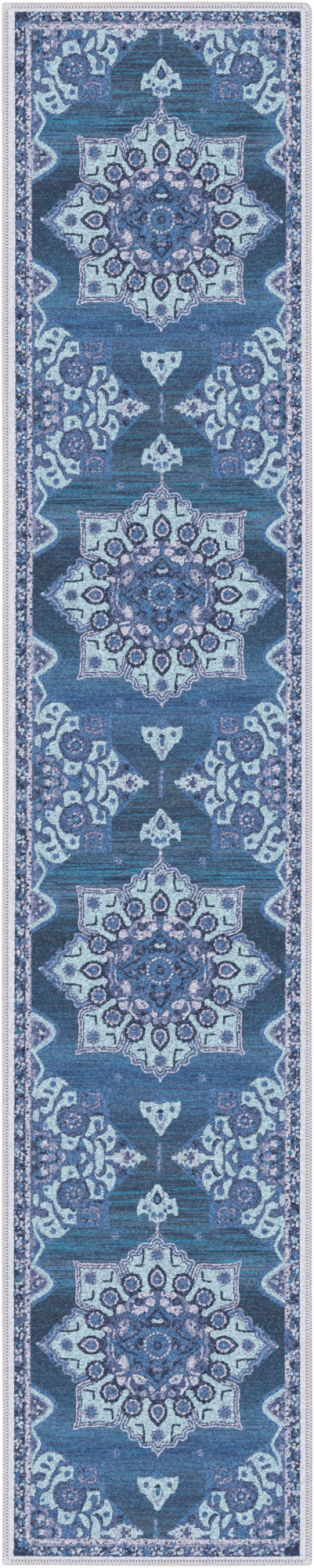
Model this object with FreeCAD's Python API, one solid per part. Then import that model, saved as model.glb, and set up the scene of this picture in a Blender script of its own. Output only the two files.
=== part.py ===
import FreeCAD
import Part
import math
import os

# A flat runner rug: a woven face cloth bonded to a backing cloth with a grip coat under it,
# and an overlock seam of thick yarn round all four edges.
# Millimetres. The length runs along Y with the head at +Y, the face is up,
# and the origin is in the middle of the underside.

# overall size
rug_width = 605.0
rug_length = 3055.0

# the layers in the open cloth, from the floor up
grip_height = 0.6
backing_height = 1.2
latex_height = 0.4
face_height = 2.4

# the seam round the edge
seam_width = 13.0
seam_height = 5.2
seam_edge_round = 1.9
yarn_under = 1.1
yarn_over = 1.2
yarn_outside = 1.2

# the needle thread that lies in the top of the seam
thread_width = 0.8
thread_depth = 0.5
thread_proud = 0.1
thread_from_inner_edge = 2.4

# how far the grip coat stops short of the cloth's edge
grip_inset = 20.0

# the plan's corners, one of which is cut rounder than the others
corner_radius = 5.0
round_corner_radius = 17.0
corners = (
    (1, 1, round_corner_radius),
    (-1, 1, corner_radius),
    (-1, -1, corner_radius),
    (1, -1, corner_radius),
)

# heights worked out from the sizes above
backing_bottom = grip_height
latex_bottom = backing_bottom + backing_height
face_bottom = latex_bottom + latex_height
face_top = face_bottom + face_height
slot_bottom = yarn_under
slot_top = seam_height - yarn_over
yarns_meet = (slot_bottom + slot_top) / 2
clear = 10.0


def outline(inset):
    """The rug's plan, moved in by inset, as a closed wire with a tangent arc at each corner."""
    half_width = rug_width / 2 - inset
    half_length = rug_length / 2 - inset
    arcs = []
    for number, (side, end, radius) in enumerate(corners):
        bend = max(radius - inset, 0.0)
        centre = FreeCAD.Vector(side * (half_width - bend), end * (half_length - bend), 0)
        points = []
        for share in (0.0, 0.5, 1.0):
            angle = math.radians(90 * (number + share))
            points.append(centre + FreeCAD.Vector(math.cos(angle), math.sin(angle), 0) * bend)
        arcs.append((bend, points))
    edges = []
    for number, (bend, points) in enumerate(arcs):
        if bend > 0:
            edges.append(Part.Arc(*points).toShape())
        next_start = arcs[(number + 1) % len(arcs)][1][0]
        edges.append(Part.LineSegment(points[-1], next_start).toShape())
    return Part.Wire(edges)


def plate(inset, bottom, top):
    """A flat solid of the rug's plan, moved in by inset, between two heights."""
    face = Part.Face(outline(inset))
    solid = face.extrude(FreeCAD.Vector(0, 0, top - bottom))
    solid.translate(FreeCAD.Vector(0, 0, bottom))
    return solid


def block(low, high):
    """A box between two corners."""
    size = high - low
    return Part.makeBox(size.x, size.y, size.z, low)


def rounded_plate(top):
    """The whole plan up to a height, with its upper and lower edges rounded."""
    solid = plate(0, 0, top)
    flat_edges = []
    for edge in solid.Edges:
        heights = [vertex.Z for vertex in edge.Vertexes]
        if max(heights) - min(heights) < 0.001:
            flat_edges.append(edge)
    return solid.makeFillet(seam_edge_round, flat_edges)


def side_regions():
    """The four stretches of the seam: the long sides take the corners."""
    x_out = rug_width / 2 + clear
    y_out = rug_length / 2 + clear
    y_in = rug_length / 2 - seam_width
    # the long sides reach in as far as the widest bend does
    x_bend = rug_width / 2 - max(seam_width, corner_radius, round_corner_radius)
    top = seam_height + clear
    vector = FreeCAD.Vector
    return {
        "left": block(vector(-x_out, -y_out, -clear), vector(-x_bend, y_out, top)),
        "right": block(vector(x_bend, -y_out, -clear), vector(x_out, y_out, top)),
        "head": block(vector(-x_bend, y_in - clear, -clear), vector(x_bend, y_out, top)),
        "foot": block(vector(-x_bend, -y_out, -clear), vector(x_bend, clear - y_in, top)),
    }


def face_cloth():
    """The woven face. Its edge is pressed thinner where the seam holds it."""
    pressed = plate(yarn_outside, face_bottom, slot_top)
    open_cloth = plate(seam_width, slot_top, face_top)
    return pressed.fuse(open_cloth).removeSplitter()


def bonding_latex():
    """The film that glues the face to the backing, over the whole cloth."""
    return plate(yarn_outside, latex_bottom, face_bottom)


def backing_cloth():
    """The felt backing. Its edge is pressed up where the seam passes under it."""
    pressed = plate(yarn_outside, slot_bottom, latex_bottom)
    open_cloth = plate(seam_width, backing_bottom, slot_bottom)
    return pressed.fuse(open_cloth).removeSplitter()


def grip_layer():
    """The grip coat that the rug lies on."""
    return plate(grip_inset, 0, grip_height)


def seam_ring():
    """The whole seam as one ring that folds round the cloth's edge."""
    ring = rounded_plate(seam_height)
    ring = ring.cut(plate(seam_width, -clear, seam_height + clear))
    return ring.cut(plate(yarn_outside, slot_bottom, slot_top))


def thread_ring():
    """The needle thread's line, let into the top of the seam."""
    outer = seam_width - thread_from_inner_edge - thread_width
    bottom = seam_height - thread_depth
    top = seam_height + thread_proud
    ring = plate(outer, bottom, top)
    return ring.cut(plate(outer + thread_width, bottom - clear, top + clear))


def seam_parts():
    """The two looper yarns and the needle thread of each edge."""
    thread = thread_ring()
    ring = seam_ring().cut(thread)
    upper = ring.cut(plate(-clear, -clear, yarns_meet))
    lower = ring.cut(plate(-clear, yarns_meet, seam_height + clear))
    parts = {}
    for side, region in side_regions().items():
        parts["upper_looper_yarn_" + side] = upper.common(region)
        parts["lower_looper_yarn_" + side] = lower.common(region)
        parts["needle_thread_" + side] = thread.common(region)
    return parts


def single_solid(name, shape):
    """The shape's one solid; anything else is a mistake in the sizes."""
    solids = shape.Solids
    if len(solids) != 1 or not solids[0].isValid():
        raise ValueError(name + " is not one valid solid: " + str(len(solids)))
    return solids[0]


nodes = {
    "face_cloth": face_cloth(),
    "bonding_latex": bonding_latex(),
    "backing_cloth": backing_cloth(),
    "grip_layer": grip_layer(),
}
nodes.update(seam_parts())

os.makedirs("parts", exist_ok=True)
for name, shape in nodes.items():
    solid = single_solid(name, shape)
    solid.exportStep("parts/" + name + ".step")
    print(name, round(solid.Volume / 1000, 2), "cm3")
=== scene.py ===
import math

import bpy
import numpy as np
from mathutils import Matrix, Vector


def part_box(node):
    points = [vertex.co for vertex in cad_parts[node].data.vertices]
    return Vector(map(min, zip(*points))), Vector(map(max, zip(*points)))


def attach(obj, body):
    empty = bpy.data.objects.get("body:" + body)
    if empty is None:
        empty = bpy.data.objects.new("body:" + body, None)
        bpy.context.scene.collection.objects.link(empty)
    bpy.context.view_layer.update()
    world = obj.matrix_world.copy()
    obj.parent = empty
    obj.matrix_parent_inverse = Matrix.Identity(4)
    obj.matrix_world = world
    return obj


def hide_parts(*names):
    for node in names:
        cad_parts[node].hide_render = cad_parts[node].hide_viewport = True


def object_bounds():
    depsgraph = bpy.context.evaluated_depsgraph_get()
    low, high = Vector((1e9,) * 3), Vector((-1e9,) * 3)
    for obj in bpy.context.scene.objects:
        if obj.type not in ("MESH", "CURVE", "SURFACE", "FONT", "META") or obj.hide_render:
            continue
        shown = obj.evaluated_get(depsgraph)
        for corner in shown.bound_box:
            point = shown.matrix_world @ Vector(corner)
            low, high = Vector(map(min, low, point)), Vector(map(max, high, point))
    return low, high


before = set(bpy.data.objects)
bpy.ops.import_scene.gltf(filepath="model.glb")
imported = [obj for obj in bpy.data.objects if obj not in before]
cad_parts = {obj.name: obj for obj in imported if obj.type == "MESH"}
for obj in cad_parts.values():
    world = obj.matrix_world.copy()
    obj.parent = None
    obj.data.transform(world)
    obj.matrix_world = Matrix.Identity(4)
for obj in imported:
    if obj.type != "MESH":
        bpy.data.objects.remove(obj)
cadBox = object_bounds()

# A printed runner rug with a stitched yarn edge. Shapes are worked out in millimetres and made in metres.
toMetres = 0.001
rugHalfWidth = float(cadBox[1][0]) / toMetres
rugHalfLength = float(cadBox[1][1]) / toMetres


def levels(node):    # lowest and highest corner of a CAD node, in millimetres
    low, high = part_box(node)
    return np.array(low, float) / toMetres, np.array(high, float) / toMetres


# --- camera, straight above the rug ---
view = {
    "lens": 100.0,
    "frameLength": 3.064,    # metres of floor along the long side of the frame
    "sensor": 36.0,
    "farthest": 100.0,
}
camera = bpy.data.cameras.new("aboveRug")
camera.lens = view["lens"]
camera.sensor_width = view["sensor"]
cameraObject = bpy.data.objects.new("aboveRug", camera)
cameraHeight = view["frameLength"] * view["lens"] / view["sensor"]
cameraObject.location = (0, 0, cameraHeight + cadBox[1][2])
camera.clip_end = view["farthest"]
bpy.context.scene.collection.objects.link(cameraObject)
bpy.context.scene.camera = cameraObject
print("camera", round(cameraHeight, 3), "m above the rug")


# --- how the rug lies: every layer wanders with the same gentle waves ---
lie = {
    "sideways": 0.8,     # how far the long sides wander, mm
    "endways": 0.7,
    "ripple": 0.5,       # height of the low swells, mm
    "sideWaves": [(0.6, 265, 0.6), (0.4, 97, 2.1)],    # share, length and start of each
    "endWave": (118, 1.0),
    "endReach": 1500,
    "swells": (84, 171, 700),    # across, along, and how far they slant
}


def settle(points):
    points = np.array(points, float)
    x, y = points[:, 0].copy(), points[:, 1].copy()
    bends = sum(share * np.sin(y / length + start) for share, length, start in lie["sideWaves"])
    points[:, 0] += lie["sideways"] * bends
    length, start = lie["endWave"]
    toEnd = np.clip(np.abs(y) / lie["endReach"], 0, 1)
    points[:, 1] += lie["endways"] * np.sin(x / length + start) * np.sign(y) * toEnd
    across, along, slant = lie["swells"]
    swell = np.sin(x / across + 0.4 + y / slant) * np.sin(y / along + 1.3)
    points[:, 2] += lie["ripple"] * 0.5 * (1 + swell)
    return points


def makePiece(name, points, faces, material, node, slotName, smooth=True):
    mesh = bpy.data.meshes.new(name)
    mesh.from_pydata((settle(points) * toMetres).tolist(), [], faces)
    mesh.polygons.foreach_set("use_smooth", [smooth] * len(mesh.polygons))
    mesh.materials.append(material)
    piece = bpy.data.objects.new(name, mesh)
    bpy.context.scene.collection.objects.link(piece)
    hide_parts(node)
    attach(piece, "root")
    print("made", name, len(mesh.polygons), "faces")
    return piece


# --- shader helpers ---
def tint(r, g, b):    # screen colour 0 to 255 into the light values that shaders use
    steps = [c / 255 for c in (r, g, b)]
    return tuple(s / 12.92 if s <= 0.04045 else ((s + 0.055) / 1.055) ** 2.4 for s in steps) + (1.0,)


def addNode(tree, kind, inputs=None, **settings):
    node = tree.nodes.new(kind)
    for key, value in settings.items():
        setattr(node, key, value)
    for key, value in (inputs or {}).items():
        if isinstance(value, bpy.types.NodeSocket):
            tree.links.new(value, node.inputs[key])
        else:
            node.inputs[key].default_value = value
    return node


def sums(tree, operation, a, b=0.0, c=0.0):
    inputs = {0: a, 1: b}
    if operation == "MULTIPLY_ADD":
        inputs[2] = c
    return addNode(tree, "ShaderNodeMath", inputs, operation=operation).outputs[0]


def times(tree, a, b):
    return addNode(tree, "ShaderNodeMath", {0: a, 1: b}, operation="MULTIPLY").outputs[0]


def vectors(tree, operation, a, b):
    return addNode(tree, "ShaderNodeVectorMath", {0: a, 1: b}, operation=operation).outputs[0]


def blendTints(tree, share, tints):    # from the first screen colour to the second
    return blendColours(tree, share, *(tint(*c) for c in tints))


def blendColours(tree, share, a, b, kind="MIX"):
    mix = addNode(tree, "ShaderNodeMix", data_type="RGBA", blend_type=kind)
    for key, value in ((0, share), (6, a), (7, b)):
        if isinstance(value, bpy.types.NodeSocket):
            tree.links.new(value, mix.inputs[key])
        else:
            mix.inputs[key].default_value = value
    return mix.outputs[2]


def between(tree, value, low, high):    # nought below low, one above high, smooth between
    node = addNode(tree, "ShaderNodeMapRange", {0: value, 1: low, 2: high}, interpolation_type="SMOOTHSTEP")
    return node.outputs[0]


def cloud(tree, vector, scale, detail=2.0, stretch=(1, 1, 1), roughness=0.5, place=(0, 0, 0)):
    moved = vectors(tree, "MULTIPLY", vector, stretch)
    if any(place):
        moved = vectors(tree, "ADD", moved, place)
    return addNode(tree, "ShaderNodeTexNoise", {
        "Vector": moved, "Scale": scale, "Detail": detail, "Roughness": roughness,
    })


def startMaterial(name, roughness, sheen=0.0, sheenRoughness=0.5, specular=0.2):
    material = bpy.data.materials.new(name)
    material.use_nodes = True
    tree = material.node_tree
    shader = tree.nodes["Principled BSDF"]
    shader.inputs["Roughness"].default_value = roughness
    shader.inputs["Sheen Weight"].default_value = sheen
    shader.inputs["Sheen Roughness"].default_value = sheenRoughness
    shader.inputs["Specular IOR Level"].default_value = specular
    place = addNode(tree, "ShaderNodeTexCoord").outputs["Object"]
    return material, tree, shader, place


def finishMaterial(tree, shader, colour, height, depth, strength=1.0):
    tree.links.new(colour, shader.inputs["Base Color"])
    bump = addNode(tree, "ShaderNodeBump", {"Strength": strength, "Distance": depth, "Height": height})
    tree.links.new(bump.outputs[0], shader.inputs["Normal"])


# The woven pattern, in millimetres from the middle of a medallion.
# Every shape is drawn once and then turned and mirrored to its places.
pattern = {
    "repeat": 732.8,        # from one medallion to the next
    "shift": 2.5,           # how far the layout sits towards the head
    "medallions": 4,
    "grid": 2.5,            # spacing of the cloth's points
    "softEdge": 4,          # a shape is worked out this far past its outline
    "fieldHalf": 248.3,     # from the middle to the pale guard stripe
    "guardHalf": 260.3,
    "borderHalf": 279.5,
    "fieldEnd": 1474.5,     # the same three along the length
    "guardEnd": 1490.6,
    "borderEnd": 1509.2,
    "borderShift": 1.4,     # the border sits this far to the right, and the guard stripe this far
    "guardShift": 2.8,
    "borderLine": 0.9,      # half the thin line round the border, and the gap to the plain edge
    "edgeGap": 0.6,
    "stripeHalf": 4.2,      # the pale stripe along the guard's middle
    "blueHalf": 24.0,       # its blue stretch, and how far that lies towards the head
    "blueRise": 8.0,
    "wander": (2.1, 430.0, 2000.0),    # how far they sway to the sides, and where and how slowly
    # how far the motifs sit to the right: in the middle, per metre, per metre squared
    "drift": (8.4, 3.6, -2.9),
}
colours = ["field", "contour", "ice", "blush", "ink", "slate", "lilac", "edge"]
shapes = []


def rounded(points, rounds):
    points = np.array(points, float)
    for _ in range(rounds):    # cut each corner a quarter of the way along
        after = np.roll(points, -1, axis=0)
        points = np.stack([0.75 * points + 0.25 * after, 0.25 * points + 0.75 * after], 1).reshape(-1, 2)
    return points


def mirrored(half, rounds=0):    # closes an outline that is given down its right side
    half = np.array(half, float)
    left = half[::-1] * [-1, 1]
    keep = np.abs(left[:, 0]) > 0.01
    return rounded(np.concatenate([half, left[keep]]), rounds)


def overDiagonal(half):    # closes an outline that is given on one side of the line x = y
    half = np.array(half, float)
    other = half[::-1, ::-1]
    keep = np.abs(other[:, 0] - other[:, 1]) > 0.01
    return np.concatenate([half, other[keep]])


def blob(*points):
    return rounded(points, 1)


def crest(*half):    # the same, mirrored left to right
    return mirrored(half, 1)


def onCircle(radius, angle):
    return np.array([math.cos(angle), math.sin(angle)]) * radius


def flower(x, y, radius, petals=0, depth=0.0, turn=0.0):
    steps = 16 + petals * 6
    a = np.linspace(0, 2 * math.pi, steps, endpoint=False)
    r = radius + depth * np.cos(petals * a + turn) if petals else np.full(steps, float(radius))
    return np.stack([x + r * np.cos(a), y + r * np.sin(a)], 1)


def area(places, colour, outline, inset=0.0):
    shapes.append((places, colour, np.array(outline, float), None, inset))


def areas(places, *marks):    # each mark is a colour and an outline
    for colour, outline in marks:
        area(places, colour, outline)


def line(places, colour, points, width):
    shapes.append((places, colour, np.array(points, float), width / 2, 0.0))


def squaredGap(x, y, start, end):    # from points to one straight stretch
    (ax, ay), (dx, dy) = start, end - start
    t = np.clip(((x - ax) * dx + (y - ay) * dy) / max(dx * dx + dy * dy, 1e-9), 0, 1)
    return (x - ax - t * dx) ** 2 + (y - ay - t * dy) ** 2


def outlineDistance(x, y, outline):
    # distance to a closed outline, negative inside it
    best = np.full(x.shape, 1e9)
    inside = np.zeros(x.shape, bool)
    for start, end in zip(outline, np.roll(outline, -1, axis=0)):
        best = np.minimum(best, squaredGap(x, y, start, end))
        (ax, ay), (dx, dy) = start, end - start
        if dy != 0:
            inside ^= ((ay > y) != (end[1] > y)) & (x < ax + (y - ay) * dx / dy)
    best = np.sqrt(best)
    return np.where(inside, -best, best)


def lineDistance(x, y, points, halfWidth):
    gaps = [squaredGap(x, y, start, end) for start, end in zip(points[:-1], points[1:])]
    return np.sqrt(np.minimum.reduce(gaps)) - halfWidth


def scatter(places, names, outline, count, sizes, seed):
    # uneven spots of several colours inside an outline
    rand = np.random.default_rng(seed)
    outline = np.array(outline, float)
    low, high = outline.min(0), outline.max(0)
    while count:
        x, y = rand.uniform(low, high)
        size = rand.uniform(*sizes)
        if outlineDistance(np.array([x]), np.array([y]), outline)[0] < -0.4 * size:
            petals = int(rand.integers(3, 6))
            name = names[int(rand.integers(len(names)))]
            area(places, name, flower(x, y, size, petals, 0.28 * size, rand.uniform(0, 6)))
            count -= 1


def driftAt(y):    # how far to the right the print has slipped at this distance along the rug
    middle, slope, curve = pattern["drift"]
    return middle + slope * y / 1000 + curve * (y / 1000) ** 2


def medallionCentres():
    first = pattern["shift"] - pattern["repeat"] * (pattern["medallions"] - 1) / 2
    return [first + pattern["repeat"] * n for n in range(pattern["medallions"])]


def waists():    # the lines halfway between medallions, and the cut ones at the two ends
    half = pattern["repeat"] / 2
    return [medallionCentres()[0] - half] + [c + half for c in medallionCentres()]


quarterTurns = [np.array(turn, float) for turn in (
    ((1, 0), (0, 1)), ((0, -1), (1, 0)), ((-1, 0), (0, -1)), ((0, 1), (-1, 0)),
)]
flipX, flipY = np.diag([-1.0, 1.0]), np.diag([1.0, -1.0])
plain = np.eye(2)
fourWays = [plain, flipX, flipY, flipX @ flipY]
# how each kind of motif is turned and mirrored round its centre
turnsFor = {
    "once": [plain],
    "ends": [plain, flipY],
    "sides": [quarterTurns[1], quarterTurns[3]],
    "half": [plain, flipX],
    "quarter": quarterTurns,
    "eighth": quarterTurns + [t @ flipX for t in quarterTurns],
    "lobe": fourWays,
    "waist": fourWays,
}


def placements(places):
    centres = waists() if places == "waist" else medallionCentres()
    return [(turn, np.array([driftAt(y), y])) for y in centres for turn in turnsFor[places]]


# --- medallion: eight tips with bands round them ---
tipFlank = [
    (40, 185), (49, 187), (57, 182), (58, 172), (63, 168), (70, 169), (74, 161), (70, 149), (62, 134),
    (55, 110), (30, 90),
]
endTip = mirrored([(0, 222), (4, 211), (12, 205), (14, 199), (24, 201), (33, 199), (38, 191)] + tipFlank)
sideTip = mirrored([(0, 230), (6, 219), (14, 210), (21, 204), (26, 204), (33, 200), (38, 192)] + tipFlank)
squareTip = overDiagonal([
    (166, 166), (158, 165), (150, 161), (132, 160), (110, 159), (92, 161), (80, 159), (73, 150),
    (69, 138), (66, 122), (60, 95),
])
# the bands of each kind of tip, from the outside in: colour and distance in from the outline
tips = [
    ("quarter", squareTip, [("blush", 0.0), ("slate", 2.8), ("blush", 5.6), ("slate", 8.0), ("ice", 10.8)]),
    ("ends", endTip, [("blush", 0.0), ("contour", 2.8), ("blush", 6.8), ("ink", 9.2), ("ice", 11.6)]),
    ("sides", sideTip, [("lilac", 0.0), ("contour", 3.2), ("blush", 8.6), ("slate", 10.8), ("ice", 13.0)]),
]
tipGlow = mirrored([(0, 238), (9, 228), (20, 216), (32, 208), (44, 196), (30, 188)])
area("sides", "contour", tipGlow)
scatter("sides", ["lilac", "field", "lilac"], tipGlow, 22, (1.8, 3.4), 17)
for n in range(5):
    for places, outline, bands in tips:
        area(places, bands[n][0], outline, bands[n][1])
areas("sides", ("ice", flower(0, 199, 7.5)), ("blush", flower(3, 234, 3.2, 4, 0.8)))

# flowers and key marks in the tips
areas(
    "quarter",
    ("lilac", flower(131, 131, 13.5, 8, 3.0)), ("lilac", flower(0, 177, 12.5, 8, 3.0)),
    ("slate", flower(131, 131, 10.5, 8, 3.0, 3.1)), ("slate", flower(0, 177, 10, 8, 3.0, 3.1)),
    ("contour", flower(130, 130, 6.0)), ("contour", flower(0, 176, 5.0)),
)
line("eighth", "ink", [(88, 144), (90, 126), (105, 125)], 4.6)
line("eighth", "ink", [(27, 190), (27, 172), (30, 155), (44, 156)], 4.2)

# the dark ring, with a pale finger between each two roundels
area("once", "ink", flower(0, 0, 113))
ring = {
    "radius": 130,
    "step": math.pi / 8,
    "fingers": (111, 150),    # where the fingers start and end
}
roundels = [(k, *onCircle(ring["radius"], math.pi / 2 - k * ring["step"])) for k in range(16) if k % 4]
for k, cx, cy in roundels:
    area("once", "ink", flower(cx, cy, 21.4, 11, 1.5, k))
area("quarter", "ink", crest((0, 161), (7, 153), (14, 147), (19, 136), (19, 122), (12, 110)))
for k in range(16):
    near, far = (onCircle(r, math.pi / 2 - (k + 0.5) * ring["step"]) for r in ring["fingers"])
    line("once", "ice", [near, far], 9.0)
    area("once", "ice", flower(*near, 6.2))
for k, cx, cy in roundels:
    area("once", "blush", flower(cx, cy, 14.8, 9, 1.2, k))
    area("once", "slate", flower(cx, cy, 11.8, 7, 1.0, k))
    area("once", "contour", flower(cx, cy, 9.6, 6, 1.8, k))
    scatter("once", ["lilac", "slate", "ink", "contour"], flower(cx, cy, 11.0), 7, (1.5, 2.8), 200 + k)
    area("once", "slate", flower(cx, cy, 3.8, 5, 0.9, k))
    area("once", "lilac", flower(cx, cy, 1.7))
areas(
    "quarter",
    ("blush", crest((0, 152), (5, 144), (12, 138), (14, 128), (10, 118), (0, 114))),
    ("slate", crest((0, 146), (5, 139), (9.5, 132), (9, 122), (0, 118))),
    ("contour", flower(0, 130, 6.0, 5, 1.0)), ("blush", flower(0, 130, 1.8)),
)

# the blotched ring inside the roundels
area("once", "slate", flower(0, 0, 104, 16, 2.0))
ringSpots = ["contour", "contour", "slate", "ink", "lilac", "contour"]
halfRing = [(0, 64), (66, 50), (70, -50), (0, -66), (0, -103), (104, 0), (0, 103)]
scatter("half", ringSpots, halfRing, 70, (3.0, 7.5), 3)
for n in range(32):
    spotColour = ("lilac", "ink", "blush", "contour")[n % 4]
    area("once", spotColour, flower(*onCircle(98, n * math.pi / 16 + 0.1), 3.2, 5, 0.8, n))
areas(
    "half",
    ("blush", blob(
        (6, 104), (14, 107), (22, 102), (30, 106), (38, 101), (38, 94), (31, 90), (21, 96),
        (8, 96),
    )),
    ("blush", blob((4, 87), (10, 92), (18, 91), (25, 86), (20, 80), (12, 75), (6, 79))),
    ("blush", blob(
        (15, 70), (24, 77), (36, 76), (47, 80), (48, 71), (53, 60), (48, 53), (40, 54), (35, 62),
        (28, 66), (27, 56), (21, 63),
    )),
)
line("half", "lilac", [(39, 98), (48, 94), (54, 86), (59, 80), (57, 70), (53, 63)], 4.5)
areas(
    "half",
    ("ink", flower(37, 85, 8.5)), ("slate", flower(37, 85, 4.5)),
    ("blush", blob((61, 63), (63, 74), (70, 81), (80, 76), (81, 67), (74, 61), (67, 66))),
    ("lilac", blob((54, 50), (66, 52), (79, 39), (78, 28), (72, 16), (65, 20), (59, 27), (54, 40))),
    ("blush", blob((60, 44), (68, 47), (75, 36), (73, 25), (67, 21), (62, 32))),
    ("lilac", blob(
        (54, -48), (66, -52), (79, -38), (79, -28), (70, -15), (63, -20), (57, -27), (53, -40),
    )),
    ("blush", blob((58, -42), (68, -46), (77, -34), (72, -22), (66, -20), (60, -30))),
    ("ink", flower(88, 49, 9)), ("slate", flower(88, 49, 5)),
)
line("half", "blush", [(85, 31), (86, 14)], 3.2)
line("half", "blush", [(88, 2), (88, -10), (85, -26)], 2.8)
area("half", "blush", blob((90, 31), (96, 36), (107, 36), (108, 30), (101, 27), (96, 23)))
line("half", "lilac", [(96, 24), (95, 8), (99, -10), (92, -24), (99, -36)], 3.2)
areas(
    "half",
    ("blush", blob((63, -50), (72, -53), (84, -54), (82, -58), (70, -57), (62, -54))),
    ("blush", blob((60, -60), (66, -74), (72, -80), (80, -72), (80, -62), (70, -62))),
    ("blush", blob(
        (19, -64), (27, -60), (36, -58), (46, -54), (51, -60), (45, -68), (42, -76), (30, -76),
        (22, -72),
    )),
)
line("half", "blush", [(54, -62), (58, -72), (58, -80), (50, -88), (46, -95)], 4.5)
areas(
    "half",
    ("blush", flower(11, -85, 6.5)), ("lilac", flower(28, -94, 7.5)), ("lilac", flower(9, -101, 5)),
    ("ink", flower(33, -84, 6)),
)

for y in (72, -66):    # the blotches are broken up by small dark spots
    among = [(6, y - 12), (52, y - 12), (40, y + 34), (6, y + 34)]
    scatter("half", ["slate", "ink", "lilac", "contour"], among, 12, (1.6, 3.2), 100 + y)
scatter("half", ["slate", "ink", "lilac"], [(56, -50), (84, -44), (84, 44), (56, 50)], 20, (1.6, 3.2), 61)

# the blue cross-shaped middle
middle = mirrored([
    (0, 83), (10, 74), (18, 66), (28, 62), (34, 55), (52, 66), (60, 66), (57, 55), (53, 46), (55, 34),
    (62, 24), (70, 13), (82, 4), (82, -5), (70, -14), (60, -22), (55, -34), (55, -46), (61, -58),
    (54, -64), (44, -54), (30, -59), (20, -68), (12, -79), (0, -88),
], 1)
area("once", "ink", middle)
area("once", "contour", middle, 2.0)
areas(
    "once",
    ("ink", crest((0, 76), (7, 68), (13, 60), (20, 54), (27, 44), (23, 35), (15, 31), (9, 37), (0, 34))),
    ("contour", crest((0, 67), (6, 61), (8, 55), (0, 53))),
    ("ice", crest((0, 48), (5, 52), (11, 51), (12, 46), (6, 43), (0, 44))),
)
area("half", "slate", flower(18, 43, 3.8))
areas(
    "once",
    ("ink", crest((0, -76), (9, -67), (14, -60), (22, -54), (24, -44), (14, -40), (6, -44), (0, -40))),
    ("contour", crest((0, -69), (7, -62), (6, -56), (0, -54))),
    ("lilac", crest((0, -44), (8, -44), (11, -49), (5, -52), (0, -49))),
)
areas(
    "half",
    ("ink", flower(39, 40, 11.5, 7, 0.9)), ("slate", flower(39, 40, 4.0)),
    ("ink", blob((31, -31), (44, -29), (50, -38), (46, -48), (35, -47), (29, -40))),
    ("slate", flower(40, -39, 3.5)), ("ink", flower(42, 22, 3.8)), ("ink", flower(43, -18, 3.8)),
    ("ink", blob((29, 20), (37, 12), (34, 0), (37, -10), (30, -15), (27, 0))),
)
line("half", "ink", [(46, 17), (58, 13), (75, 1), (60, -13), (47, -15)], 5.0)
area("half", "ink", blob((34, 14), (44, 10), (46, -8), (34, -14)))
scatter("half", ["lilac", "contour", "slate", "ink"], [
    (30, 16), (52, 10), (68, 1), (52, -10), (30, -16),
], 20, (1.8, 3.4), 4)
scatter("half", ["slate", "ink", "lilac"], [
    (4, 30), (24, 28), (50, 50), (30, 52), (52, 30), (60, 10),
], 16, (1.6, 2.8), 7)
scatter("half", ["slate", "ink", "contour", "lilac"], [
    (4, -30), (30, -26), (52, -20), (54, -46), (44, -52), (26, -56), (8, -44),
], 16, (2.0, 4.0), 5)
scatter("half", ["slate", "ink", "contour"], [
    (22, 30), (50, 22), (56, 34), (54, 56), (34, 54), (26, 48),
], 10, (2.0, 3.6), 6)
areas("half", ("ink", flower(13, -30, 6)), ("lilac", blob((3, -22), (12, -20), (16, -26), (8, -29))))

# the rosette in the very middle
area("once", "slate", flower(0, 0, 29, 12, 1.2))
for n in range(20):
    area("once", "ice" if n % 4 else "lilac", flower(*onCircle(24.5, n * math.pi / 10), 2.9))
areas(
    "once",
    ("contour", flower(0, 0, 18.5, 10, 1.0)), ("ink", flower(0, 0, 9.5, 8, 1.5)),
    ("slate", flower(0, 0, 4.5)),
)

# --- pendants above and below the medallion ---
headPendant = mirrored([
    (0, 317), (7, 311), (11, 302), (19, 297), (23, 290), (22, 285), (36, 288), (35, 279), (40, 270),
    (40, 259), (38, 251), (32, 258), (21, 259), (16, 254), (18, 242), (10, 244), (3, 238), (0, 236),
], 1)
area("once", "ice", headPendant)
area("once", "ink", crest((0, 305), (4, 296), (9, 288), (9, 280), (3, 275), (0, 274)))
area("once", "contour", mirrored([(0, 296), (4, 288), (4, 280), (0, 278)]))
line("half", "lilac", [(9, 306), (13, 292), (10, 284), (16, 272)], 3.0)
areas(
    "half",
    ("slate", blob((19, 274), (26, 276), (30, 270), (27, 264), (20, 266))),
    ("slate", flower(15.5, 264, 3.8)),
    ("contour", blob((4, 262), (11, 259), (14, 251), (5, 245), (0, 250))),
    ("lilac", flower(7, 250, 3.0)),
)
line("once", "lilac", [(0, 238), (0, 222)], 4.5)
area("once", "blush", flower(0, 228, 3.6))
line("half", "lilac", [(1, 224), (10, 211), (18, 206)], 2.4)

footPendant = mirrored([
    (0, -325), (7, -318), (11, -307), (20, -299), (24, -289), (33, -289), (35, -281), (40, -272),
    (40, -253), (32, -259), (20, -258), (14, -256), (8, -260), (0, -263),
], 1)
area("once", "contour", crest((0, -242), (12, -248), (13, -257), (0, -268)))
area("once", "ice", footPendant)
area("once", "contour", crest((0, -277), (5, -282), (4, -291), (0, -296)))
line("half", "lilac", [(9, -282), (9, -292), (5, -302)], 3.2)
area("once", "ink", crest((0, -270), (7, -275), (8, -280), (0, -277)))
area("half", "slate", blob((18, -266), (26, -266), (29, -272), (25, -280), (18, -276)))
area("once", "lilac", crest((0, -300), (5, -304), (4, -313), (0, -316)))

# small faded sprigs in the open field
for y in (214, -210):
    area("half", "contour", flower(82, y, 9, 8, 3.5))
    area("half", "lilac", flower(82, y, 5, 6, 2.5))
    area("half", "contour", flower(82, y, 2.5))
area("waist", "contour", blob((-1, -2), (5, 0), (7, 6), (3, 13), (6, 20), (3, 29), (-1, 34)))
area("waist", "lilac", [(-1, 2), (2.6, 7), (0.5, 16), (2.4, 22), (-1, 27)])

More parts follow.
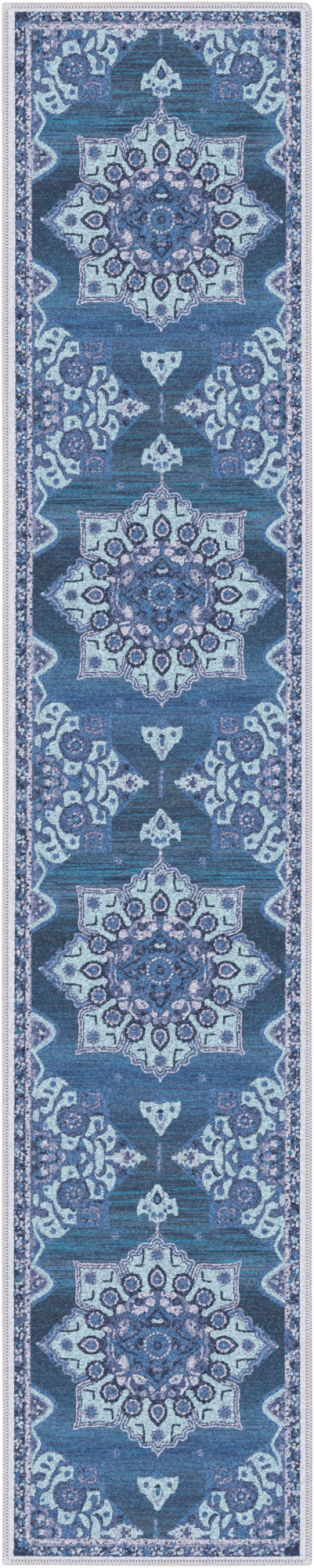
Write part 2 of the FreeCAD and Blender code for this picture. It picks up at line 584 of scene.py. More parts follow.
# --- side lobes, level with the tips of the square corners ---
lobe = np.array([
    (260, 55), (240, 36), (224, 25), (213, 17), (206, 8), (203, 0), (206, -10), (216, -20),
    (228, -27), (240, -35), (260, -47),
], float) + [0, 122]
area("lobe", "contour", rounded(lobe, 1), -8.0)
area("lobe", "ice", rounded(lobe, 1))
area("lobe", "lilac", rounded(lobe, 1), 8.5)
area("lobe", "slate", rounded(lobe, 1), 12.5)
insideLobe = np.array([(252, 160), (222, 126), (222, 116), (252, 84)], float)
scatter("lobe", ["lilac", "ink", "contour", "blush", "slate"], insideLobe, 22, (2.0, 4.2), 16)

# --- spandrels, measured from the waist line ---
spandrel = rounded([
    (22, -6), (32, 8), (46, 22), (58, 34), (70, 47), (84, 60), (94, 69), (99, 78), (96, 90), (100, 100),
    (97, 112), (97, 124), (97, 139), (108, 138), (120, 133), (131, 137), (145, 132), (158, 137),
    (168, 135), (176, 145), (188, 155), (200, 164), (214, 170), (222, 180), (232, 192), (243, 203),
    (262, 215), (262, -6),
], 1)
area("waist", "contour", spandrel)
area("waist", "slate", spandrel, 13.0)
insideSpandrel = np.array([
    (70, -4), (104, 60), (108, 128), (150, 124), (196, 148), (246, 190), (246, -4),
], float)
scatter("waist", ["contour", "contour", "contour", "ink", "slate"], insideSpandrel, 60, (4.5, 10.0), 8)
nearGuard = np.array([(168, -4), (196, 22), (196, 46), (214, 48), (247, 56), (247, -4)], float)
scatter("waist", ["lilac", "ink", "slate", "lilac", "contour", "blush"], nearGuard, 34, (2.6, 6.0), 9)
scatter("waist", ["ink", "slate", "lilac"], insideSpandrel, 26, (2.2, 4.0), 10)

# pale leaves of the spandrel, each with a dark edge
leaves = [
    [
        (104, 11), (92, 16), (86, 27), (84, 42), (88, 54), (96, 66), (101, 62), (101, 53),
        (111, 45), (121, 41), (127, 33), (122, 28), (116, 36), (108, 34), (103, 24),
    ],
    [(108, -3), (125, -3), (125, 10), (122, 20), (127, 29), (118, 31), (111, 22), (108, 10)],
    [(131, 6), (140, 14), (145, 25), (151, 34), (146, 38), (137, 33), (131, 27), (129, 15)],
    [(146, -3), (154, 4), (152, 11), (145, 7), (142, -3)],
    [
        (143, 40), (130, 45), (124, 54), (128, 64), (126, 73), (115, 72), (113, 60), (119, 53),
        (110, 56), (109, 81), (137, 80), (138, 70), (136, 60), (144, 48),
    ],
    [
        (155, 42), (160, 24), (168, 15), (186, 17), (193, 22), (190, 36), (192, 48), (185, 47),
        (178, 40), (166, 41),
    ],
    [
        (192, 50), (205, 43), (209, 56), (227, 53), (227, 67), (217, 79), (207, 83), (204, 96),
        (197, 109), (186, 117), (174, 117), (175, 102), (190, 100), (198, 90), (202, 77),
        (200, 64),
    ],
    [(162, 98), (182, 100), (188, 116), (182, 119), (191, 120), (185, 129), (162, 130)],
    [(138, 73), (147, 73), (152, 82), (161, 90), (170, 98), (164, 107), (154, 100), (147, 92), (140, 84)],
    [
        (174, 137), (184, 149), (196, 157), (211, 157), (226, 150), (236, 138), (244, 122),
        (241, 112), (229, 119), (216, 116), (209, 103), (205, 112), (198, 122), (192, 136),
        (186, 143),
    ],
    [(208, 106), (209, 93), (222, 85), (234, 91), (231, 100), (220, 99), (214, 112)],
    [(237, 70), (247, 73), (247, 90), (238, 97), (235, 84)],
]
waistFlower = [
    (24, -3), (30, 5), (36, 4), (38, 12), (45, 9), (49, 18), (56, 13), (62, 21), (68, 15),
    (76, 17), (77, 9), (86, 10), (92, 4), (106, 3), (106, -3),
]
for leaf in leaves:
    area("waist", "slate", leaf, -2.6)
area("waist", "slate", rounded(waistFlower, 1), -3.0)
for leaf in leaves:
    area("waist", "ice", leaf)
area("waist", "ice", waistFlower)
area("waist", "blush", rounded(waistFlower, 1), 4.5)
scatter("waist", ["ice", "ink", "lilac", "slate"], [
    (46, -3), (48, 6), (62, 12), (76, 8), (84, -3),
], 9, (1.8, 3.4), 12)
areas("waist", ("slate", flower(62, 2, 4.2, 5, 1.0)), ("ink", flower(70, 29, 7.0, 5, 1.5)))
line("waist", "ink", [(104, 20), (107, 30), (115, 37), (122, 34)], 3.6)
# blue hearts in the leaves
hearts = [(96, 36, 6.4), (120, 67, 7.4), (173, 115, 6.4), (207, 144, 6.4), (221, 63, 4.0), (174, 30, 5.0)]
for x, y, size in hearts:
    area("waist", "contour", flower(x, y, size, 5, 0.8))
    area("waist", "slate", flower(x, y, 0.45 * size))
areas(
    "waist",
    ("slate", blob((206, 120), (214, 125), (228, 127), (224, 137), (212, 133), (205, 128))),
    ("contour", blob((124, 39), (133, 35), (138, 40), (130, 47), (121, 49))),
)
# the pale wavy line that runs from the spandrel to the lobe
line("waist", "ice", [
    (246, 122), (243, 136), (240, 150), (233, 160), (227, 172), (232, 184), (239, 195), (246, 208),
], 6.0)
scatter("waist", ["lilac", "slate", "lilac"], [
    (249, 128), (243, 158), (234, 172), (240, 188), (249, 200),
], 8, (2.5, 4.5), 13)

# the big rosette
rosetteAt = (167, 72)
areas(
    "waist",
    ("ink", flower(*rosetteAt, 31.0, 8, 2.6)), ("slate", flower(*rosetteAt, 28.0, 8, 2.6)),
    ("contour", flower(*rosetteAt, 21.5, 8, 5.5)),
)
scatter("waist", ["ink", "slate", "slate", "contour"], flower(*rosetteAt, 27), 26, (2.2, 4.0), 14)
area("waist", "slate", flower(*rosetteAt, 15, 8, 1.5))
for n in range(10):
    bead = onCircle(12.5, n * math.pi / 5) + rosetteAt
    area("waist", "lilac" if n % 2 else "blush", flower(*bead, 2.6, 4, 0.5, n))
areas(
    "waist",
    ("ink", flower(*rosetteAt, 9.0)), ("contour", flower(*rosetteAt, 7.0)),
    ("blush", flower(*rosetteAt, 2.6, 5, 1.0)),
)
# the square flower
areas(
    "waist",
    ("contour", blob(
        (106, 90), (133, 86), (160, 92), (159, 113), (161, 136), (133, 134), (106, 138),
        (108, 113),
    )),
    ("slate", blob(
        (111, 95), (133, 91), (155, 97), (154, 113), (155, 130), (133, 129), (111, 133),
        (113, 113),
    )),
    ("lilac", blob(
        (115, 99), (133, 95), (151, 101), (150, 113), (151, 126), (133, 125), (115, 129),
        (117, 113),
    )),
    ("slate", blob(
        (118, 102), (133, 99), (148, 104), (147, 113), (148, 123), (133, 121), (118, 125),
        (120, 113),
    )),
)
scatter("waist", ["ink", "lilac", "contour", "contour", "slate"], [
    (114, 96), (153, 98), (153, 128), (114, 130),
], 30, (1.8, 3.4), 15)
areas("waist", ("contour", flower(131, 114, 8.5, 6, 1.5)), ("slate", flower(131, 114, 3.5)))


def lay(cover, window, distance, colour):
    # lays one colour over the others where the distance is below nought
    share = np.clip(0.5 - distance / pattern["grid"], 0, 1)[..., None]
    part = cover[window]
    part *= 1 - share
    part[..., colours.index(colour)] += share[..., 0]


def cutOut(xs, ys, low, high):    # the points of the cloth between two corners
    i0, i1 = np.searchsorted(xs, [low[0], high[0]])
    j0, j1 = np.searchsorted(ys, [low[1], high[1]])
    return (slice(j0, j1), slice(i0, i1)), *np.meshgrid(xs[i0:i1], ys[j0:j1])


def weave(xs, ys):
    # the share of each colour at every point of the cloth
    cover = np.zeros((len(ys), len(xs), len(colours)), np.float32)
    cover[..., 0] = 1
    for places, colour, outline, halfWidth, inset in shapes:
        for turn, centre in placements(places):
            points = outline @ turn.T + centre
            reach = pattern["softEdge"] + (halfWidth or 0) + max(-inset, 0)
            window, gx, gy = cutOut(xs, ys, points.min(0) - reach, points.max(0) + reach)
            if gx.size == 0:
                continue
            if halfWidth is None:
                distance = outlineDistance(gx, gy, points) + inset
            else:
                distance = lineDistance(gx, gy, points, halfWidth)
            lay(cover, window, distance, colour)
    return cover


def sway(y):    # the borders sway gently to the sides along the rug
    much, start, halfWave = pattern["wander"]
    return much * np.sin(math.pi * (y + start) / halfWave)


def frameDistance(gx, gy, halfWidth, halfLength, shift):
    # how far a point is outside a rectangle round the middle
    return np.maximum(np.abs(gx - shift - sway(gy)) - halfWidth, np.abs(gy) - halfLength)


borderDots = {
    "sidePitch": 43.8,
    "endPitch": 39.2,
    "cluster": [(-9, 4), (-2, 6), (-5, -3), (3, -1.5), (9, 4.5), (8, -5)],    # along the border and across
    "radius": 2.9,
    "uneven": (0.8, 1.15),
    "stray": 0.9,
    "iceShare": 0.35,
    "contourShare": 0.4,
    "specks": 11,            # of each kind round every cluster
    "specksAlong": 22,
    "largeAcross": 12,
    "largeSizes": (3.0, 6.0),
    "smallAcross": 10,
    "smallSizes": (1.2, 1.9),
}
eyelets = {    # the dark spots along the guard stripe
    "pitch": 7.5,
    "sizes": (1.5, 2.7),
    "strayAlong": 2,
    "strayAtSides": 3.6,
    "strayAtEnds": 3.4,
}


def spotAt(cover, xs, ys, x, y, radius, colour):
    place, reach = np.array([x, y]), radius + pattern["softEdge"]
    window, gx, gy = cutOut(xs, ys, place - reach, place + reach)
    if gx.size:
        lay(cover, window, np.hypot(gx - x, gy - y) - radius, colour)


def borderClusters():    # where the clusters of dots are, and whether the border runs up or across there
    d, p = borderDots, pattern
    sideMiddle = (p["guardHalf"] + p["borderHalf"]) / 2
    endMiddle = (p["guardEnd"] + p["borderEnd"]) / 2
    upCount = int(2 * p["borderEnd"] / d["sidePitch"])
    acrossCount = int(2 * p["guardHalf"] / d["endPitch"])
    clusters = []
    for side in (-1, 1):
        for n in range(upCount):
            y = (n - (upCount - 1) / 2) * d["sidePitch"]
            clusters.append((side * sideMiddle + p["borderShift"] + sway(y), y, True))
        for n in range(acrossCount):
            clusters.append(((n - (acrossCount - 1) / 2) * d["endPitch"], side * endMiddle, False))
    return clusters


def sprinkle(cover, xs, ys, rand):
    d, p, e = borderDots, pattern, eyelets

    def specks(reach, sizes, pick):
        along = rand.uniform(-d["specksAlong"], d["specksAlong"], d["specks"])
        across = rand.uniform(-reach, reach, d["specks"])
        return [(u, v, rand.uniform(*sizes), pick()) for u, v in zip(along, across)]

    def clusterDot(u, v):
        u, v = u + rand.normal(0, d["stray"]), v + rand.normal(0, d["stray"])
        size = d["radius"] * rand.uniform(*d["uneven"])
        return u, v, size, "ice" if rand.random() < d["iceShare"] else "blush"

    def largeColour():
        return "contour" if rand.random() < d["contourShare"] else "slate"

    def oneOf(*names):
        return names[int(rand.integers(len(names)))]

    for x, y, up in borderClusters():
        spots = specks(d["largeAcross"], d["largeSizes"], largeColour)
        spots += specks(d["smallAcross"], d["smallSizes"], lambda: oneOf("lilac", "ice", "blush"))
        spots += [clusterDot(u, v) for u, v in d["cluster"]]
        for u, v, size, colour in spots:
            place = (x + v, y + u) if up else (x + u, y + v)
            spotAt(cover, xs, ys, *place, size, colour)
    guardX = (p["fieldHalf"] + p["guardHalf"]) / 2
    guardY = (p["fieldEnd"] + p["guardEnd"]) / 2
    for side in (-1, 1):
        for y in np.arange(-p["fieldEnd"], p["fieldEnd"], e["pitch"]):
            x = side * guardX + p["guardShift"] + sway(y) + rand.normal(0, e["strayAtSides"])
            place = x, y + rand.normal(0, e["strayAlong"])
            spotAt(cover, xs, ys, *place, rand.uniform(*e["sizes"]), oneOf("ink", "slate", "ink"))
        for x in np.arange(-p["fieldHalf"], p["fieldHalf"], e["pitch"]):
            place = x + rand.normal(0, e["strayAlong"]), side * guardY + rand.normal(0, e["strayAtEnds"])
            spotAt(cover, xs, ys, *place, rand.uniform(*e["sizes"]), oneOf("ink", "slate", "lilac"))


def addBorders(cover, xs, ys, rand):
    gx, gy = np.meshgrid(xs, ys)
    p = pattern
    field = frameDistance(gx, gy, p["fieldHalf"], p["fieldEnd"], p["guardShift"])
    guard = frameDistance(gx, gy, p["guardHalf"], p["guardEnd"], p["guardShift"])
    border = frameDistance(gx, gy, p["borderHalf"], p["borderEnd"], p["borderShift"])
    stripe = np.abs(field - (p["guardHalf"] - p["fieldHalf"]) / 2) - p["stripeHalf"]
    lay(cover, ..., -field, "lilac")
    lay(cover, ..., stripe, "blush")
    for y in medallionCentres():    # the guard stripe turns blue on one side of each medallion
        blue = np.maximum(stripe, np.abs(gy - y - p["blueRise"]) - p["blueHalf"])
        lay(cover, ..., np.maximum(blue, -gx), "contour")
    lay(cover, ..., -guard, "ink")
    sprinkle(cover, xs, ys, rand)
    lay(cover, ..., np.abs(border) - p["borderLine"], "slate")
    lay(cover, ..., -border + p["edgeGap"], "edge")


# --- the face cloth ---
faceCloth = {
    "cellsAcross": 240,
    "cellsAlong": 1220,
    "underEvery": 10,      # the hidden underside needs only every tenth line
    "dipFrom": 13.6,       # the seam presses the cloth down inside this distance from its edge
    "dipTo": 10.6,
    "yarnOver": 1.2,       # thickness of the yarn that lies over the cloth there
    "relief": 0.10,
    "waves": 14,           # how many waves make up the relief, and how quick they are
    "waveRates": (0.05, 0.35),
}
corners = {
    "tight": 5.0,
    "round": 17.0,         # one corner was cut rounder than the other three
    "least": 0.8,
}
weaveLook = {
    "knotWidth": 0.0024,
    "knotHeight": 0.0018,
    "ragged": 0.55,        # how ragged the edges of the shapes are
    "patchy": 1.5,
    "bumpDepth": 0.0005,
    "roughness": 0.88,
    "sheen": 0.12,
    "seamShade": (0.50, 0.48, 0.55, 1),
    "paleKnots": 0.42,     # how far stray knots turn light or dark
    "darkKnots": 0.6,
    "paleKnot": (168, 176, 202),
    "darkKnot": (44, 56, 84),
    "brightStreaks": 0.85,
    "darkStreaks": 0.8,
    "brightStreak": (40, 138, 182),
    "darkStreak": (40, 52, 76),
    "mottle": ((0.72, 0.74, 0.78, 1), (1.50, 1.40, 1.32, 1)),    # darkest and lightest patches of ground
}
# dark and light tone of each colour, in the order of the list above
tones = {
    "contour": ((54, 98, 146), (98, 142, 188)),
    "ice": ((156, 190, 206), (208, 232, 238)),
    "blush": ((168, 167, 195), (234, 230, 239)),
    "ink": ((34, 44, 70), (70, 84, 116)),
    "slate": ((62, 80, 122), (108, 124, 166)),
    "lilac": ((112, 120, 160), (186, 184, 210)),
    "edge": ((212, 213, 224), (236, 237, 244)),
}
# the ground colour up one repeat from waist to waist: distance, colour, how strong its streaks are
groundBands = [
    (-366, (78, 98, 120), 0.40),
    (-300, (62, 90, 124), 0.45),
    (-240, (80, 114, 154), 0.45),
    (-205, (62, 98, 144), 0.50),
    (-160, (86, 126, 164), 0.50),
    (-110, (60, 92, 122), 0.40),
    (-60, (56, 82, 110), 0.20),
    (60, (50, 68, 90), 0.20),
    (104, (58, 80, 106), 0.45),
    (122, (82, 114, 144), 0.75),
    (144, (86, 120, 152), 0.85),
    (151, (108, 132, 162), 0.85),
    (158, (90, 118, 148), 0.85),
    (167, (86, 118, 150), 0.90),
    (177, (62, 98, 130), 1.00),
    (185, (66, 106, 138), 1.00),
    (190, (76, 130, 168), 0.80),
    (195, (68, 106, 136), 1.00),
    (210, (70, 102, 132), 0.85),
    (240, (82, 110, 138), 0.75),
    (300, (62, 86, 112), 0.75),
    (366, (78, 98, 120), 0.45),
]


def cornerRadius(signX, signY, inset):
    full = corners["round"] if (signX > 0 and signY > 0) else corners["tight"]
    return max(full - inset, corners["least"])


def roundCorners(x, y, halfWidth, halfLength, inset):
    # draws a rectangle's corner points in onto quarter circles
    x, y = x.copy(), y.copy()
    for signX in (-1, 1):
        for signY in (-1, 1):
            radius = cornerRadius(signX, signY, inset)
            a = signX * x - (halfWidth - radius)
            b = signY * y - (halfLength - radius)
            near = (a > 0) & (b > 0)
            share = np.maximum(a, b)[near] / np.hypot(a, b)[near]
            x[near] = signX * (halfWidth - radius + a[near] * share)
            y[near] = signY * (halfLength - radius + b[near] * share)
    return x, y


def layerSolid(inset, cells, underEvery, topLevel, underLevel):
    # a closed layer: fine cells on top, coarser ones underneath, walls between
    nx, ny = cells
    halfWidth, halfLength = rugHalfWidth - inset, rugHalfLength - inset
    xs, ys = np.linspace(-halfWidth, halfWidth, nx + 1), np.linspace(-halfLength, halfLength, ny + 1)
    gx, gy = (grid.ravel() for grid in np.meshgrid(xs, ys))
    x, y = roundCorners(gx, gy, halfWidth, halfLength, inset)
    fromEdge = np.minimum(halfWidth - np.abs(gx), halfLength - np.abs(gy))
    top = np.stack([x, y, topLevel(x, y, fromEdge)], 1)
    at = np.arange((nx + 1) * (ny + 1)).reshape(ny + 1, nx + 1)
    faces = np.stack([at[:-1, :-1], at[:-1, 1:], at[1:, 1:], at[1:, :-1]], -1).reshape(-1, 4).tolist()
    j, i = np.meshgrid(np.arange(ny + 1), np.arange(nx + 1), indexing="ij")
    rim = (i == 0) | (i == nx) | (j == 0) | (j == ny)
    kept = rim | ((i % underEvery == 0) & (j % underEvery == 0))
    under = np.full(kept.shape, -1)
    under[kept] = len(top) + np.arange(kept.sum())
    low = np.stack([x, y, underLevel(x, y, fromEdge)], 1)[kept.ravel()]
    for b in range(0, ny, underEvery):
        for a in range(0, nx, underEvery):
            c, d = a + underEvery, b + underEvery
            corner = [(a, q) for q in range(b, d)] if a == 0 else [(a, b)]
            corner += [(q, d) for q in range(a, c)] if d == ny else [(a, d)]
            corner += [(c, q) for q in range(d, b, -1)] if c == nx else [(c, d)]
            corner += [(q, b) for q in range(c, a, -1)] if b == 0 else [(c, b)]
            faces.append([int(under[q, p]) for p, q in corner])
    around = [(p, 0) for p in range(nx)] + [(nx, q) for q in range(ny)]
    around += [(p, ny) for p in range(nx, 0, -1)] + [(0, q) for q in range(ny, 0, -1)]
    for (p, q), (r, s) in zip(around, around[1:] + around[:1]):
        faces.append([int(at[s, r]), int(at[q, p]), int(under[q, p]), int(under[s, r])])
    return np.concatenate([top, low]), faces, kept.sum()


def flatLevel(level):
    return lambda x, y, fromEdge: np.full(x.shape, float(level))


def groundColour(tree, place, up, tone):
    # bands up each repeat, with thin streaks across the rug
    look = weaveLook
    along = sums(tree, "SUBTRACT", up, pattern["shift"] * toMetres)
    along = sums(tree, "DIVIDE", along, pattern["repeat"] * toMetres)
    along = sums(tree, "FRACT", sums(tree, "ADD", along, 10.0))    # a half at the middle of a medallion
    ramp = addNode(tree, "ShaderNodeValToRGB", {0: along})
    stops = ramp.color_ramp.elements
    for distance, colour, strength in groundBands:
        position = min(max(distance / pattern["repeat"] + 0.5, 0.0), 1.0)
        stop = stops[-1] if position > 0.999 else stops.new(position) if position > 0.001 else stops[0]
        stop.color = tint(*colour)[:3] + (strength,)
    streak = cloud(tree, place, 1.0, 2.0, (9.0, 260.0, 1.0)).outputs["Fac"]
    wideStreak = cloud(tree, place, 1.0, 1.0, (5.0, 90.0, 1.0), place=(0, 9, 0)).outputs["Fac"]
    bright = times(tree, between(tree, streak, 0.50, 0.60), ramp.outputs["Alpha"])
    bright = times(tree, bright, between(tree, wideStreak, 0.42, 0.56))
    bright = times(tree, bright, look["brightStreaks"])
    dark = times(tree, between(tree, streak, 0.50, 0.39), ramp.outputs["Alpha"])
    dark = times(tree, dark, look["darkStreaks"])
    ground = blendColours(tree, bright, ramp.outputs["Color"], tint(*look["brightStreak"]))
    ground = blendColours(tree, dark, ground, tint(*look["darkStreak"]))
    return blendColours(tree, 1.0, ground, blendColours(tree, tone, *look["mottle"]), "MULTIPLY")


def makeFaceMaterial():
    look = weaveLook
    material, tree, shader, place = startMaterial("facePrint", look["roughness"], look["sheen"], 0.4, 0.15)
    xyz = addNode(tree, "ShaderNodeSeparateXYZ", {0: place})
    # rows of knots, each row shifted by half a knot
    rowAt = sums(tree, "DIVIDE", xyz.outputs[1], look["knotHeight"])
    row = sums(tree, "FLOOR", rowAt)
    shift = times(tree, sums(tree, "FLOORED_MODULO", row, 2.0), 0.5)
    knotAt = sums(tree, "ADD", sums(tree, "DIVIDE", xyz.outputs[0], look["knotWidth"]), shift)
    knot = sums(tree, "FLOOR", knotAt)

    # how much of each colour there is, made uneven knot by knot and patch by patch
    amounts, dyes, chances, patches = [], [], [], []
    for name, layer, offset in (("firstColours", 0.0, (0, 0, 0)), ("lastColours", 7.0, (3.1, 1.7, 0.4))):
        seat = addNode(tree, "ShaderNodeCombineXYZ", {0: knot, 1: row, 2: layer}).outputs[0]
        chance = addNode(tree, "ShaderNodeTexWhiteNoise", {"Vector": seat}, noise_dimensions="3D")
        patch = cloud(tree, place, 300.0, 2.0, (0.75, 1.0, 1.0), place=offset)
        dye = addNode(tree, "ShaderNodeAttribute", attribute_name=name)
        fine = vectors(tree, "MULTIPLY", chance.outputs["Color"], (look["ragged"],) * 3)
        wide = vectors(tree, "MULTIPLY", patch.outputs["Color"], (look["patchy"],) * 3)
        three = vectors(tree, "ADD", dye.outputs["Color"], vectors(tree, "ADD", fine, wide))
        amounts += list(addNode(tree, "ShaderNodeSeparateXYZ", {0: three}).outputs)
        single = times(tree, chance.outputs["Value"], look["ragged"])
        single = sums(tree, "MULTIPLY_ADD", patch.outputs["Fac"], look["patchy"], single)
        amounts.append(sums(tree, "ADD", dye.outputs["Alpha"], single))
        dyes.append(dye)
        chances.append(chance.outputs["Value"])
        patches.append(patch.outputs["Fac"])
    tone = sums(tree, "SUBTRACT", times(tree, chances[0], 0.45), 0.82)
    tone = between(tree, sums(tree, "MULTIPLY_ADD", patches[1], 2.2, tone), 0.0, 1.0)

    # the strongest colour at each place wins
    best, colour = amounts[0], groundColour(tree, place, xyz.outputs[1], tone)
    for amount, name in zip(amounts[1:], colours[1:]):
        wins = sums(tree, "GREATER_THAN", amount, best)
        best = sums(tree, "MAXIMUM", amount, best)
        colour = blendColours(tree, wins, colour, blendTints(tree, tone, tones[name]))

    # stray light and dark knots all over the print, fewer on the plain edge
    printed = sums(tree, "SUBTRACT", 1.0, dyes[1].outputs["Alpha"])
    groundShare = addNode(tree, "ShaderNodeSeparateXYZ", {0: dyes[0].outputs["Color"]}).outputs[0]
    fewer = sums(tree, "MULTIPLY_ADD", groundShare, -0.6, 1.0)
    pale = times(tree, between(tree, chances[0], 0.86, 0.90), look["paleKnots"])
    pale = times(tree, times(tree, pale, fewer), printed)
    colour = blendColours(tree, pale, colour, tint(*look["paleKnot"]))
    deep = times(tree, between(tree, chances[1], 0.88, 0.92), look["darkKnots"])
    colour = blendColours(tree, times(tree, deep, printed), colour, tint(*look["darkKnot"]))

    # painted shade on the cloth where the seam presses it down
    past = [sums(tree, "SUBTRACT", sums(tree, "ABSOLUTE", xyz.outputs[axis]), half * toMetres)
            for axis, half in ((0, rugHalfWidth), (1, rugHalfLength))]
    toEdge = sums(tree, "MAXIMUM", *past)
    pressed = between(tree, toEdge, -(faceCloth["dipTo"] + 1.0) * toMetres, -faceCloth["dipTo"] * toMetres)
    colour = blendColours(tree, pressed, colour, look["seamShade"], "MULTIPLY")

    # each knot is a little cushion, and the colour is painted darker between the knots as shade
    acrossKnot = sums(tree, "SINE", times(tree, sums(tree, "FRACT", knotAt), math.pi))
    upKnot = sums(tree, "SINE", times(tree, sums(tree, "FRACT", rowAt), math.pi))
    cushion = sums(tree, "POWER", times(tree, acrossKnot, upKnot), 0.5)
    cushion = sums(tree, "MULTIPLY_ADD", chances[1], 0.25, cushion)
    shade = sums(tree, "MULTIPLY_ADD", cushion, 0.30, 0.76)
    shades = addNode(tree, "ShaderNodeCombineXYZ", {0: shade, 1: shade, 2: shade}).outputs[0]
    colour = blendColours(tree, 1.0, colour, shades, "MULTIPLY")
    finishMaterial(tree, shader, colour, cushion, look["bumpDepth"])
    return material


def seamShare(fromEdge):    # nought where the seam presses the cloth, one where it is free
    return np.clip((fromEdge - faceCloth["dipTo"]) / (faceCloth["dipFrom"] - faceCloth["dipTo"]), 0, 1)


def makeFaceCloth():
    low, high = levels("face_cloth")
    inset = rugHalfWidth - high[0]
    underSeam = levels("upper_looper_yarn_left")[1][2] - faceCloth["yarnOver"]
    nx, ny = faceCloth["cellsAcross"], faceCloth["cellsAlong"]
    rand = np.random.default_rng(11)
    waves = [(rand.uniform(*faceCloth["waveRates"]), rand.uniform(0, math.pi), rand.uniform(0, 6.28))
             for _ in range(faceCloth["waves"])]

    def topLevel(x, y, fromEdge):
        bumps = sum(np.sin((x * math.cos(d) + y * math.sin(d)) * f + p) for f, d, p in waves)
        bumps /= len(waves) ** 0.5
        share = seamShare(fromEdge)
        share = share * share * (3 - 2 * share)
        return underSeam + (high[2] - underSeam) * share + faceCloth["relief"] * share * (bumps - 1)

    underLevel = flatLevel(low[2])
    points, faces, underCount = layerSolid(inset, (nx, ny), faceCloth["underEvery"], topLevel, underLevel)
    piece = makePiece("faceCloth", points, faces, makeFaceMaterial(), "face_cloth", "face_print")
    xs = np.linspace(-rugHalfWidth + inset, rugHalfWidth - inset, nx + 1)
    ys = np.linspace(-rugHalfLength + inset, rugHalfLength - inset, ny + 1)
    cover = weave(xs, ys)
    addBorders(cover, xs, ys, np.random.default_rng(5))
    gx, gy = np.meshgrid(rugHalfWidth - np.abs(xs), rugHalfLength - np.abs(ys))
    lay(cover, ..., np.minimum(gx, gy) - faceCloth["dipTo"], "edge")    # no print under the seam
    underside = np.zeros((underCount, len(colours)), np.float32)
    underside[:, colours.index("edge")] = 1
    cover = np.concatenate([cover.reshape(-1, len(colours)), underside])
    for name, part in (("firstColours", cover[:, :4]), ("lastColours", cover[:, 4:])):
        layer = piece.data.attributes.new(name, "FLOAT_COLOR", "POINT")
        layer.data.foreach_set("color", np.ascontiguousarray(part, np.float32).ravel())
    print("pattern drawn from", len(shapes), "shapes")
    return piece


faceClothPiece = makeFaceCloth()


# --- backing felt, latex film and grip coat ---
backing = {
    "cell": 12.5,
    "seamDip": 0.5,        # the seam presses the felt up from below by this much
    "feltTints": ((150, 150, 154), (214, 213, 212)),
    "latexTints": ((196, 190, 172), (226, 221, 206)),
}


def makeFeltMaterial():
    material, tree, shader, place = startMaterial("backingFelt", 0.95, 0.25, 0.6, 0.1)
    fibres = cloud(tree, place, 900.0, 3.0, (1.0, 0.35, 1.0)).outputs["Fac"]
    tufts = cloud(tree, place, 120.0, 2.0).outputs["Fac"]
    mixed = sums(tree, "MULTIPLY_ADD", fibres, 0.7, times(tree, tufts, 0.5))
    colour = blendTints(tree, between(tree, mixed, 0.35, 0.85), backing["feltTints"])
    finishMaterial(tree, shader, colour, mixed, 0.0004)
    return material


def makeLatexMaterial():
    material, tree, shader, place = startMaterial("latexFilm", 0.55, 0.0, 0.5, 0.4)
    streaks = cloud(tree, place, 60.0, 3.0, (1.0, 0.25, 1.0)).outputs["Fac"]
    colour = blendTints(tree, between(tree, streaks, 0.3, 0.7), backing["latexTints"])
    finishMaterial(tree, shader, colour, streaks, 0.0002)
    return material


def makeBacking():
    low, high = levels("backing_cloth")
    inset = rugHalfWidth - high[0]
    cells = (round(2 * rugHalfWidth / backing["cell"]), round(2 * rugHalfLength / backing["cell"]))

    def underLevel(x, y, fromEdge):
        return low[2] + backing["seamDip"] * (1 - seamShare(fromEdge))

    points, faces, _ = layerSolid(inset, cells, 1, flatLevel(high[2]), underLevel)
    felt = makePiece("backingCloth", points, faces, makeFeltMaterial(), "backing_cloth", "backing_felt")
    low, high = levels("bonding_latex")
    inset = rugHalfWidth - high[0]
    points, faces, _ = layerSolid(inset, cells, 1, flatLevel(high[2]), flatLevel(low[2]))
    film = makePiece("bondingLatex", points, faces, makeLatexMaterial(), "bonding_latex", "latex_bond")
    return felt, film


gripCoat = {
    "pitchAcross": 18.0,
    "pitchAlong": 16.0,
    "padRadius": 4.6,
    "padTop": 3.4,         # the pad narrows to this radius where it meets the floor
    "filmShare": 0.42,     # of the coat's thickness
    "filmTints": ((188, 189, 192), (212, 212, 213)),
    "padTint": (132, 135, 142),
}


def makeGripMaterial():
    material, tree, shader, place = startMaterial("gripCoat", 0.6, 0.0, 0.5, 0.35)
    specks = cloud(tree, place, 700.0, 3.0).outputs["Fac"]
    cloudy = cloud(tree, place, 40.0, 2.0).outputs["Fac"]
    mixed = sums(tree, "MULTIPLY_ADD", specks, 0.5, times(tree, cloudy, 0.5))
    colour = blendTints(tree, between(tree, mixed, 0.35, 0.65), gripCoat["filmTints"])
    onPad = addNode(tree, "ShaderNodeAttribute", attribute_name="pad").outputs["Fac"]
    colour = blendColours(tree, onPad, colour, tint(*gripCoat["padTint"]))
    finishMaterial(tree, shader, colour, specks, 0.0002)
    return material


